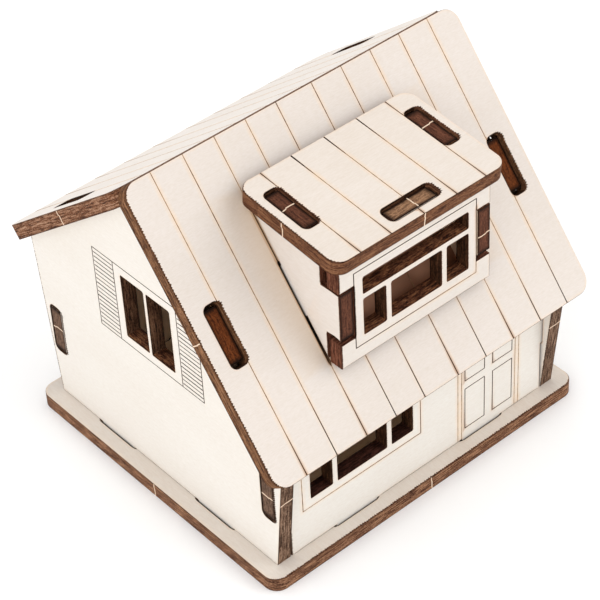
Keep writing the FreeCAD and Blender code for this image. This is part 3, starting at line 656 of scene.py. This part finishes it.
def add_walls(build, sheet, front, back):
    """The cut edge between the two faces, with its run and its depth as the flat layer."""
    points = front[1]
    starts, ends, kinds = cut_edges(sheet)
    back_at = {key(point): i for i, point in enumerate(back[1])}
    run = 0.0
    for loop in front[2]:
        pairs = list(zip(loop, loop[1:] + loop[:1]))
        middles = np.array([(points[a] + points[b]) / 2 for a, b in pairs])
        nearest = nearest_on(middles, starts, ends)[0].argmin(1)
        for (start, end), edge in zip(pairs, nearest):
            length = math.dist(points[start], points[end])
            low_start = back[0] + back_at[key(points[start])]
            low_end = back[0] + back_at[key(points[end])]
            corners = [front[0] + start, low_start, low_end, front[0] + end]
            at = math.dist(points[start], starts[edge]) if kinds[edge] == TAB else run
            flat = [(at, 0.0), (at, sheet.thickness),
                    (at + length, sheet.thickness), (at + length, 0.0)]
            build.add_face(corners, kinds[edge], flat)
            run += length
        run += LOOP_APART


def add_nib(build, sheet, spot, rng):
    """A crooked sliver of uncharred wood across the cut edge, nearest to a spot of the face."""
    starts, ends = edges_of(sheet.loops)
    distance, share = nearest_on(np.array([spot]), starts, ends)
    index = distance[0].argmin()
    way = ends[index] - starts[index]
    foot = starts[index] + way * share[0, index]
    way /= math.hypot(*way)
    outward = np.array([way[1], -way[0]])
    rows = []
    shift = rng.uniform(-NIB_SHIFT, NIB_SHIFT)
    for number, depth in enumerate(NIB_DEPTHS):
        shift += rng.uniform(-NIB_SWAY, NIB_SWAY) + (NIB_JOG if number == 2 else 0.0)
        height = -depth * sheet.thickness
        corners = []
        for along, proud in ((-1, -1), (-1, 1), (1, 1), (1, -1)):
            at = foot + way * (shift + along * NIB_WIDTH / 2) + outward * (proud * NIB_PROUD)
            corners.append(build.add_point(sheet.place(at[0], at[1], height)))
        rows.append(corners)
    flat = [(0, 0), (1, 0), (1, 1), (0, 1)]
    for upper, lower in zip(rows, rows[1:]):
        for i in range(4):
            k = (i + 1) % 4
            build.add_face([upper[i], lower[i], lower[k], upper[k]], NIB, flat)
    build.add_face(rows[0], NIB, flat)
    build.add_face(rows[-1][::-1], NIB, flat)


def build_sheet(node, out, along, draw, nibs, rims, materials, seed):
    """Make the piece that stands for a CAD sheet, with its burns, its lines and its nibs."""
    sheet = Sheet(node, out, along)
    rng = random.Random(seed)
    lines = draw(sheet, rng) if draw else []
    loops = [resample(loop, rng) for loop in sheet.loops]
    borders = []
    for loop in loops:
        rim, tooth = rims["slot" if is_slot(loop) else "outer" if loop is loops[0] else "light"]
        borders.append(ragged_rim(sheet, loop, rim, tooth, rims["foot"], rims["dot"], rng))
    build = Builder()
    front = add_side(build, sheet, loops, borders, lines, True, rims["foot"])
    outlines = [front[1][loop] for loop in front[2]]
    rim, tooth = rims["back"]
    borders = [ragged_rim(sheet, loop, rim, tooth, 0.0, 0.0, rng) for loop in outlines]
    back = add_side(build, sheet, outlines, borders, [], False)
    add_walls(build, sheet, front, back)
    for place in nibs:
        add_nib(build, sheet, sheet.flat(Vector(place) * MM), rng)
    piece = build.make(node + "_sheet", materials)
    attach(piece, "root")
    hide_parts(node)


# ---- materials

# Noises: cycles per millimetre along and across, detail, roughness and twist.
GRAIN = (0.12, 1.6, 4.0, 0.6, 0.3)
FIBRE = (0.9, 6.0, 3.0, 0.65, 0.0)
CLOUD = (0.05, 0.08, 2.0, 0.55, 0.0)
STAIN = (0.35, 0.35, 3.0, 0.6, 0.0)
CHAR_STREAK = (0.25, 3.4, 4.0, 0.65, 0.4)
SILL_STREAK = (0.5, 3.4, 4.0, 0.65, 0.4)
CHAR_FINE = (2.4, 6.0, 3.0, 0.7, 0.0)
CHAR_PATCH = (0.35, 0.6, 3.0, 0.55, 0.0)
TAB_STREAK = (0.5, 3.0, 4.0, 0.65, 0.4)
TAB_FINE = (2.4, 5.0, 3.0, 0.7, 0.0)
RIM_SPECK = (2.5, 3.0, 3.0, 0.6, 0.0)
LINE_SPECK = (0.9, 0.9, 3.0, 0.6, 0.0)
NIB_SPECK = (2.0, 2.0, 2.0, 0.55, 0.0)
FLOOR_SPECK = (2.0, 0.55, 0.0)  # detail, roughness and twist alone, over metres
SHIFT_WAY = (1.0, 0.7, 1.3)  # the direction in which a shift moves a noise

WOOD_ROUGHNESS = 0.62
CHAR_ROUGHNESS = 0.7
RIM_ROUGHNESS = 0.75
LINE_ROUGHNESS = 0.8
NIB_ROUGHNESS = 0.7
FLOOR_ROUGHNESS = 0.9
WOOD_GLOSS = 0.25
CHAR_GLOSS = 0.05
WOOD_BUMP = 0.00002  # metres
CHAR_BUMP = 0.0001
RIM_BUMP = 0.00003

CINDER = "#1C100A"
# Painted bounce light: the lighter, warmer colour of the sides that face a room.
ROOM_BOUNCE_LIGHT = "#F6E0C6"
YELLOWED = "#EFC490"  # wood beside a burn
SINGED = "#A07048"  # and beside a black one
DORMER_WARM_SHADE = "#D9B88C"  # painted warm shade on the front roof round the dormer
INSIDE_DORMER_SHADE = "#9E7055"  # and painted shade on the front roof inside the dormer, where it is dim
LINE_COLOURS = ("#DDBF9A", "#8C6848", "#3A2518", "#0C0604")  # from the coolest to the hottest
NIB_COLOURS = ("#F6E6D2", "#D2AA84")
FLOOR_COLOURS = ("#FFFFFF", "#FCFCFC")

# The span of a noise, a depth or a heat over which its effect grows.
GRAIN_SPAN, CLOUD_SPAN, FIBRE_SPAN = (0.3, 0.72), (0.3, 0.7), (0.4, 0.6)
STAIN_SPAN, STAIN_LEAST = (0.3, 0.65), 0.35
SINGED_SPAN = (0.28, 0.58)
CHAR_SPANS = ((0.42, 0.5), (0.5, 0.59))
FACE_SPAN = (0.8, 1.0)
TAB_SPANS = ((0.38, 0.62),)
TAB_BORDER_SPAN = (0.2, 0.9)
RIM_SPAN = (0.35, 0.65)
LINE_SPANS = ((0.15, 0.6), (0.5, 0.9), (1.0, 1.25))
LINE_SPECK_SPAN, LINE_SPECK_HEAT = (0.3, 0.7), 0.18
WHOLE = (0.0, 1.0)

CHAR_MIX = (0.5, 0.35, 0.15)  # shares of its streaks, of its fine noise and of its patches
TAB_MIX = (0.5, 0.5)

# How much of its colour each of these may give.
GRAIN_SHARE, CLOUD_SHARE, FIBRE_SHARE = 0.25, 0.25, 0.5
YELLOWED_SHARE = 0.5
SINGED_SHARE = 0.7
DORMER_WARM_SHADE_SHARE = 0.36
CHAR_BLACK = 0.7  # the dark of a charred cut, at both faces
SILL_BLACK = 0.5

DORMER_WARM_SHADE_REACH = 8.0  # of the painted warm shade round the dormer
SHADE_BORDER = 0.5  # over which the painted shade inside the dormer ends
LONG_ENDS = 3.0  # how much faster both painted shades end up and down the roof than sideways
ROOM_BORDER = 0.1  # over which the painted bounce light of a room's side ends
TAB_BORDER = 1.3  # of black at the ends of a tab
SEED_STEP = 17.3  # from the noises of one sheet to those of the next
COLOUR_INPUTS, COLOUR_OUTPUT = (6, 7), 2  # of a Mix node, which has others for numbers


def linear(code):
    """The linear colour of a hex code."""
    parts = [int(code[i:i + 2], 16) / 255 for i in (1, 3, 5)]
    return [p / 12.92 if p <= 0.04045 else ((p + 0.055) / 1.055) ** 2.4 for p in parts] + [1.0]


def give(node, values):
    """Set some inputs of a node to constant values."""
    for name, value in values.items():
        node.inputs[name].default_value = value


class Shader:
    """A material's node tree, with the few kinds of node that the woods need."""

    def __init__(self, name, roughness, gloss=WOOD_GLOSS):
        """Start a material with one roughness and one gloss all over."""
        self.material = bpy.data.materials.new(name)
        self.material.use_nodes = True
        self.tree = self.material.node_tree
        self.surface = self.tree.nodes["Principled BSDF"]
        give(self.surface, {"Roughness": roughness, "Specular IOR Level": gloss})

    def node(self, kind, **settings):
        """A new node of a kind."""
        made = self.tree.nodes.new(kind)
        for name, value in settings.items():
            setattr(made, name, value)
        return made

    def join(self, source, target):
        """Link an output to an input, or set this to a number or to the colour of a hex code."""
        if isinstance(source, bpy.types.NodeSocket):
            self.tree.links.new(source, target)
        else:
            target.default_value = linear(source) if isinstance(source, str) else source

    def spots(self, along, across, shift=0.0):
        """The flat layer's millimetres, scaled along and across and moved by a shift."""
        layer = self.node("ShaderNodeUVMap", uv_map="sheet")
        mapping = self.node("ShaderNodeMapping")
        give(mapping, {"Location": [shift * way for way in SHIFT_WAY],
                       "Scale": (along, across, 1)})
        self.join(layer.outputs["UV"], mapping.inputs["Vector"])
        return mapping.outputs["Vector"]

    def flat(self):
        """The flat layer's millimetres along, and those across."""
        split = self.node("ShaderNodeSeparateXYZ")
        self.join(self.spots(1.0, 1.0), split.inputs["Vector"])
        return split.outputs["X"], split.outputs["Y"]

    def noise(self, vector, detail, roughness, twist):
        """A noise from 0 to 1 at each place of a vector."""
        made = self.node("ShaderNodeTexNoise")
        give(made, {"Scale": 1.0, "Detail": detail, "Roughness": roughness, "Distortion": twist})
        self.join(vector, made.inputs["Vector"])
        return made.outputs["Fac"]

    def texture(self, kind, shift=0.0):
        """One of the noises named above, over the flat layer."""
        along, across, *rest = kind
        return self.noise(self.spots(along, across, shift), *rest)

    def spread(self, value, span, most=1.0, least=0.0):
        """The span laid over least to most, and held at these beyond its ends."""
        made = self.node("ShaderNodeMapRange")
        start, end = span
        give(made, {"From Min": start, "From Max": end, "To Min": least, "To Max": most})
        self.join(value, made.inputs["Value"])
        return made.outputs["Result"]

    def maths(self, kind, first, second):
        """An operation of the Math node on two values or numbers."""
        made = self.node("ShaderNodeMath", operation=kind)
        for socket, value in zip(made.inputs, (first, second)):
            self.join(value, socket)
        return made.outputs["Value"]

    def gap(self, value, middle):
        """How far a value is from a middle."""
        return self.maths("ABSOLUTE", self.maths("SUBTRACT", value, middle), 0.0)

    def mix(self, values, shares):
        """The sum of values, each multiplied by its share."""
        total = None
        for value, share in zip(values, shares):
            part = self.maths("MULTIPLY", value, share)
            total = part if total is None else self.maths("ADD", total, part)
        return total

    def blend(self, factor, first, second):
        """From the first colour, at a factor of 0, to the second, at 1; a code is a colour too."""
        made = self.node("ShaderNodeMix", data_type="RGBA")
        self.join(factor, made.inputs["Factor"])
        for place, value in zip(COLOUR_INPUTS, (first, second)):
            self.join(value, made.inputs[place])
        return made.outputs[COLOUR_OUTPUT]

    def ramp(self, value, spans, colours):
        """From each colour to the next over a span of its own."""
        colour, *others = colours
        for span, other in zip(spans, others):
            colour = self.blend(self.spread(value, span), colour, other)
        return colour

    def attribute(self, name):
        """A layer that the mesh has at its points."""
        return self.node("ShaderNodeAttribute", attribute_name=name).outputs["Fac"]

    def finish(self, colour, height=None, depth=RIM_BUMP):
        """Give the material its colour and, if there is a height, its bumps."""
        self.join(colour, self.surface.inputs["Base Color"])
        if height is not None:
            bump = self.node("ShaderNodeBump")
            give(bump, {"Strength": 1.0, "Distance": depth})
            self.join(height, bump.inputs["Height"])
            self.join(bump.outputs["Normal"], self.surface.inputs["Normal"])
        return self.material


def paint_dormer_shade(shader, wood):
    """Painted shade on the front roof's wood: browned inside the dormer, and yellowed a little
    round it as warm shade.
    """
    half_width, low, high = DORMER_INSIDE
    middle = (low + high) / 2
    along, up = shader.flat()
    aside = shader.maths("SUBTRACT", shader.maths("ABSOLUTE", along, 0.0), half_width)
    beyond = shader.maths("SUBTRACT", shader.gap(up, middle), high - middle)
    away = shader.maths("MAXIMUM", aside, shader.maths("MULTIPLY", beyond, LONG_ENDS))
    wood = shader.blend(shader.spread(away, (DORMER_WARM_SHADE_REACH, 0.0), DORMER_WARM_SHADE_SHARE), wood, DORMER_WARM_SHADE)
    return shader.blend(shader.spread(away, (0.0, -SHADE_BORDER)), wood, INSIDE_DORMER_SHADE)


def paint_room_light(shader, wood, room):
    """Painted bounce light: the side that faces a room is lighter and warmer, as far as the walls
    that hide its border.
    """
    within = shader.attribute("room")
    for place, half in zip(shader.flat(), room):
        away = shader.maths("ABSOLUTE", place, 0.0)
        inner = shader.spread(away, (half, half - ROOM_BORDER))
        within = shader.maths("MULTIPLY", within, inner)
    return shader.blend(within, wood, ROOM_BOUNCE_LIGHT)


def make_face(name, pale, deep, seed, room):
    """Bare birch veneer: fine fibres, faint clouds, and yellowed wood beside the burns, with
    painted bounce light on a room's side and painted shade round and inside the dormer.
    """
    shader = Shader(name, WOOD_ROUGHNESS)
    grain = shader.texture(GRAIN, seed)
    fibre = shader.texture(FIBRE, seed + 5)
    cloud = shader.texture(CLOUD, seed + 9)
    tone = shader.maths("ADD", shader.spread(grain, GRAIN_SPAN, GRAIN_SHARE),
                        shader.spread(cloud, CLOUD_SPAN, CLOUD_SHARE))
    tone = shader.maths("ADD", tone, shader.spread(fibre, FIBRE_SPAN, FIBRE_SHARE))
    wood = shader.blend(tone, pale, deep)
    stain = shader.spread(shader.texture(STAIN, seed + 13), STAIN_SPAN, 1.0, STAIN_LEAST)
    glow = shader.maths("MULTIPLY", shader.attribute("scorch"), stain)
    yellow = shader.spread(glow, WHOLE, YELLOWED_SHARE)
    wood = shader.blend(yellow, wood, YELLOWED)
    brown = shader.maths("MULTIPLY", shader.attribute("scorch"), shader.attribute("burnt"))
    brown = shader.spread(brown, SINGED_SPAN, SINGED_SHARE)
    wood = shader.blend(brown, wood, SINGED)
    wood = paint_room_light(shader, wood, room)
    # The front roof gets painted shade round and inside the dormer.
    if name.startswith("front_roof"):
        wood = paint_dormer_shade(shader, wood)
    return shader.finish(wood, grain, WOOD_BUMP)


def edge_depth(shader):
    """Distance from the middle of the plies, 1 at either face, and the run along the cut."""
    run, depth = shader.flat()
    return shader.maths("DIVIDE", shader.gap(depth, HALF_PLY), HALF_PLY), run


def make_char(name, dark, middle, light, seed, streaks=CHAR_STREAK, black=CHAR_BLACK):
    """A cut edge: plies charred to streaks along it, darkest at both faces."""
    shader = Shader(name, CHAR_ROUGHNESS, CHAR_GLOSS)
    streak = shader.texture(streaks, seed)
    fine = shader.texture(CHAR_FINE, seed + 3)
    patch = shader.texture(CHAR_PATCH, seed + 7)
    mixed = shader.mix((streak, fine, patch), CHAR_MIX)
    warm = shader.ramp(mixed, CHAR_SPANS, (dark, middle, light))
    burnt = shader.spread(edge_depth(shader)[0], FACE_SPAN, black)
    colour = shader.blend(burnt, warm, dark)
    return shader.finish(colour, fine, CHAR_BUMP)


def make_tab(name, dark, light, border_start, seed):
    """The end of a tab: warm brown in its middle, black round its border."""
    shader = Shader(name, CHAR_ROUGHNESS, CHAR_GLOSS)
    depth, run = edge_depth(shader)
    streak = shader.texture(TAB_STREAK, seed)
    fine = shader.texture(TAB_FINE, seed + 3)
    mixed = shader.mix((streak, fine), TAB_MIX)
    half = TAB_LENGTH / 2
    ends = shader.spread(shader.gap(run, half), (half - TAB_BORDER, half))
    border = shader.maths("MAXIMUM", shader.spread(depth, (border_start, 1.0)), ends)
    warm = shader.ramp(mixed, TAB_SPANS, (dark, light))
    colour = shader.blend(shader.spread(border, TAB_BORDER_SPAN), warm, CINDER)
    return shader.finish(colour, fine, CHAR_BUMP)


def make_rim(name, dark, middle, seed):
    """The thin char on the face beside a cut, turned black by the burnt layer, which where the cut
    faces down is painted contact shade.
    """
    shader = Shader(name, RIM_ROUGHNESS, CHAR_GLOSS)
    speck = shader.texture(RIM_SPECK, seed)
    colour = shader.blend(shader.spread(speck, RIM_SPAN), dark, middle)
    colour = shader.blend(shader.attribute("burnt"), colour, CINDER)
    return shader.finish(colour, speck)


def make_burn():
    """The floor of an engraved line: amber where the beam ran fast, dark where it slowed."""
    shader = Shader("engraved_line", LINE_ROUGHNESS, CHAR_GLOSS)
    speck = shader.texture(LINE_SPECK)
    speck = shader.spread(speck, LINE_SPECK_SPAN, LINE_SPECK_HEAT, -LINE_SPECK_HEAT)
    heat = shader.maths("ADD", shader.attribute("burnt"), speck)
    return shader.finish(shader.ramp(heat, LINE_SPANS, LINE_COLOURS))


def make_nib():
    """The bare wood of a nib."""
    shader = Shader("nib_wood", NIB_ROUGHNESS)
    return shader.finish(shader.blend(shader.texture(NIB_SPECK), *NIB_COLOURS))


def make_floor():
    """Plain pale paper. Its noise is over metres, since the floor has no flat layer."""
    shader = Shader("floor_paper", FLOOR_ROUGHNESS)
    place = shader.node("ShaderNodeNewGeometry").outputs["Position"]
    return shader.finish(shader.blend(shader.noise(place, *FLOOR_SPECK), *FLOOR_COLOURS))


# ---- the house

# Dark, middle and light of a charred cut.
WALNUT = ("#2C201B", "#754A32", "#AE8A70")
RUSSET = ("#3A2014", "#7C4C33", "#A87656")
HAZEL = ("#2E1B12", "#75503C", "#AC8262")
MAHOGANY = ("#2A160F", "#5E3828", "#845442")
UMBER = ("#2A1C15", "#644B3B", "#A0826C")
SIENNA = ("#2E1B12", "#6A4430", "#906648")
OCHRE = ("#321F15", "#6C4830", "#9A7050")
EMBERS = ("#26140F", "#663E2C", "#A4724E")
CINDERS = (CINDER, "#3E2618", "#6A4630")
DUSK = ("#20130D", "#5E402E", "#88644C")
COALS = ("#241411", "#40261F", "#5E3A30")

# Dark and light of a tab's end, and where its black border starts, from its middle to a face.
AMBER_TAB = ("#543A2C", "#A88060", 0.5)
BROWN_TAB = ("#34251E", "#806452", 0.8)
ORANGE_TAB = ("#35190D", "#7C4220", 0.5)
RED_TAB = ("#382018", "#704634", 0.5)

# Rim and tooth of each kind of outline; back is for all of them on the face that isn't seen.
# foot is the least rim where a cut faces down, blackened there as painted contact shade as well as
# char; dot is what a slot's corners add.
RIMS = {"outer": (0.05, 0.38), "slot": (0.13, 0.4), "light": (0.05, 0.14), "back": (0.03, 0.1),
        "foot": 0.12, "dot": 0.0}
BASE_RIMS = dict(RIMS, slot=(0.17, 0.3), dot=0.16)
# The cheeks stand on the front roof; their wide black foot is painted contact shade as well as
# char.
CHEEK_RIMS = dict(RIMS, outer=(0.13, 0.25), foot=0.36)
DORMER_FRONT_RIMS = dict(CHEEK_RIMS, foot=0.15)

UP, LEFT, RIGHT = (0, 0, 1), (-1, 0, 0), (1, 0, 0)
FRONT, BACK = (0, -1, 0), (0, 1, 0)

# Spots beside which a cut edge has a nib, in the row frame.
BASE_NIBS = [(0.1, -34.75, 3), (-38, -0.5, 3), (38, 0.5, 3), (0, 34.75, 3)]
WALL_NIBS = [(-34.6, 0, 19.35), (34.6, 0, 19.35)]
GABLE_NIBS = [(0, -34, 18.9), (0, 34, 18.9)]

ALL = 99.0  # more than any sheet has
# The half sizes of the room behind a sheet, along its grain and up, as far as the walls' middles.
ROOMS = {"base_plate": (30.1, 33.1), "gable": (30.1, ALL), "wall": (33.1, ALL),
         "dormer": (ALL, ALL), "dormer_roof": (16.1, ALL)}

# node, seen side, grain, engraving, nibs, rims, room, char, sill, tab, pale and deep wood
SHEETS = (
    ("base_plate", UP, BACK, None, BASE_NIBS, BASE_RIMS, "base_plate",
     HAZEL, EMBERS, ORANGE_TAB, "#DBD3CA", "#D2C6BA"),
    ("front_wall", FRONT, RIGHT, front_wall_lines, WALL_NIBS, RIMS, "wall",
     UMBER, COALS, BROWN_TAB, "#E6E2DB", "#DCD4CA"),
    ("back_wall", BACK, LEFT, None, WALL_NIBS, RIMS, "wall",
     UMBER, EMBERS, BROWN_TAB, "#E6E2DB", "#DCD4CA"),
    ("left_gable_wall", LEFT, FRONT, gable_lines, GABLE_NIBS, RIMS, "gable",
     UMBER, EMBERS, ORANGE_TAB, "#E3DED7", "#D9D1C7"),
    ("right_gable_wall", RIGHT, BACK, gable_lines, GABLE_NIBS, RIMS, "gable",
     UMBER, EMBERS, ORANGE_TAB, "#E3DED7", "#D9D1C7"),
    ("front_roof_panel", (0, -1, 1), RIGHT, front_roof_lines, [(-38, -5.3, 38.6), (38, -5.3, 38.6)],
     RIMS, "wall", OCHRE, EMBERS, RED_TAB, "#DED5CE", "#D4C9BE"),
    ("back_roof_panel", (0, 1, 1), LEFT, roof_lines, [(-38, 18, 54.5), (38, 18, 54.5)],
     RIMS, "wall", WALNUT, EMBERS, RED_TAB, "#EEE7E0", "#E3D9CF"),
    ("dormer_front", FRONT, RIGHT, dormer_front_lines, [(0.6, 0, 65)],
     DORMER_FRONT_RIMS, "dormer", MAHOGANY, EMBERS, AMBER_TAB, "#DED7D0", "#D4CAC0"),
    ("dormer_left_cheek", LEFT, BACK, None, [(0, -18, 66)], CHEEK_RIMS, "dormer",
     MAHOGANY, EMBERS, RED_TAB, "#DED6CF", "#D4C9BF"),
    ("dormer_right_cheek", RIGHT, BACK, None, [(0, -17.6, 66), (0, -32, 49.9)],
     CHEEK_RIMS, "dormer", RUSSET, EMBERS, RED_TAB, "#DED6CF", "#D4C9BF"),
    ("dormer_roof", (0, -0.1, 1), RIGHT, dormer_roof_lines,
     [(-20, -20, 64), (0.1, -34, 62), (20, -20, 64)], RIMS, "dormer_roof",
     SIENNA, EMBERS, RED_TAB, "#E0D6CD", "#D6CABD"),
)

burn = make_burn()
nib = make_nib()
for number, row in enumerate(SHEETS):
    node, out, along, draw, nibs, rims, room, char, sill, tab, pale, deep = row
    seed = number * SEED_STEP  # what is added to it keeps one noise of a sheet from another
    cinders = DUSK if room == "gable" else CINDERS
    materials = [
        make_face(node + "_face", pale, deep, seed, ROOMS[room]),
        make_char(node + "_char", *char, seed),
        make_char(node + "_dark", *cinders, seed + 31),
        make_char(node + "_sill", *sill, seed + 47, SILL_STREAK, SILL_BLACK),
        make_tab(node + "_tab", *tab, seed),
        make_rim(node + "_rim", char[0], char[1], seed),
        burn,
        nib,
    ]
    build_sheet(node, out, along, draw, nibs, rims, materials, number)

# ---- stage

FLOOR = -0.00002  # metres: a hair under the base, so that no two faces lie in one plane
FLOOR_REACH = 3.0  # metres from the middle to each side
WORLD_STRENGTH = 0.65
LIT_PLACE = (0, 0, 0.03)  # metres: what every light faces

# name, place and side in metres, power in watts
LIGHTS = (
    ("left_box", (-1.1, -0.15, 0.5), 1.3, 8.8),
    ("front_box", (0.8, -0.8, 0.6), 1.2, 8.3),
    ("top_box", (0.0, 0.0, 1.2), 1.4, 2.7),
    ("back_box", (-0.1, 0.85, 0.9), 1.3, 2.8),
)

CAMERA_PLACE = (-203.47, -250.20, 305.63)
CAMERA_TARGET = (0.657, 1.145, 23.28)
CAMERA_ROLL = -3.449  # degrees
CAMERA_LENS = 138.04
CAMERA_SENSOR = 36.0
CAMERA_CLIP = 0.01  # metres


def make_stage():
    """A plain square floor."""
    mesh = bpy.data.meshes.new("floor")
    sides = ((-1, -1), (1, -1), (1, 1), (-1, 1))
    corners = [(x * FLOOR_REACH, y * FLOOR_REACH, FLOOR) for x, y in sides]
    mesh.from_pydata(corners, [], [(0, 1, 2, 3)])
    mesh.materials.append(make_floor())
    floor = add_object("floor", mesh)


def make_world():
    """Even white light from all round."""
    world = bpy.data.worlds.new("studio")
    world.use_nodes = True
    background = world.node_tree.nodes["Background"]
    give(background, {"Color": (1, 1, 1, 1), "Strength": WORLD_STRENGTH})
    bpy.context.scene.world = world


def make_light(name, place, side, power):
    """A square soft box of white light that faces the house."""
    data = bpy.data.lights.new(name, "AREA")
    data.size = side
    data.energy = power
    lamp = add_object(name, data)
    lamp.location = place
    lamp.rotation_mode = "QUATERNION"
    lamp.rotation_quaternion = (Vector(LIT_PLACE) - Vector(place)).to_track_quat("-Z", "Y")


def make_camera():
    """Above the front left corner, rolled a little, with a long lens."""
    place = Vector(CAMERA_PLACE) * MM
    target = Vector(CAMERA_TARGET) * MM
    roll = math.radians(CAMERA_ROLL)
    back = (place - target).normalized()
    right = Vector(UP).cross(back).normalized()
    up = back.cross(right)
    tilted_right = right * math.cos(roll) + up * math.sin(roll)
    tilted_up = up * math.cos(roll) - right * math.sin(roll)
    turn = Matrix((tilted_right, tilted_up, back)).transposed()
    data = bpy.data.cameras.new("camera")
    data.lens = CAMERA_LENS
    data.sensor_width = CAMERA_SENSOR
    data.clip_start = CAMERA_CLIP
    camera = add_object("camera", data)
    camera.rotation_mode = "QUATERNION"
    camera.rotation_quaternion = turn.to_quaternion()
    camera.location = place
    bpy.context.scene.camera = camera


make_stage()
make_world()
for light in LIGHTS:
    make_light(*light)
make_camera()
bpy.context.scene.view_settings.view_transform = "Standard"
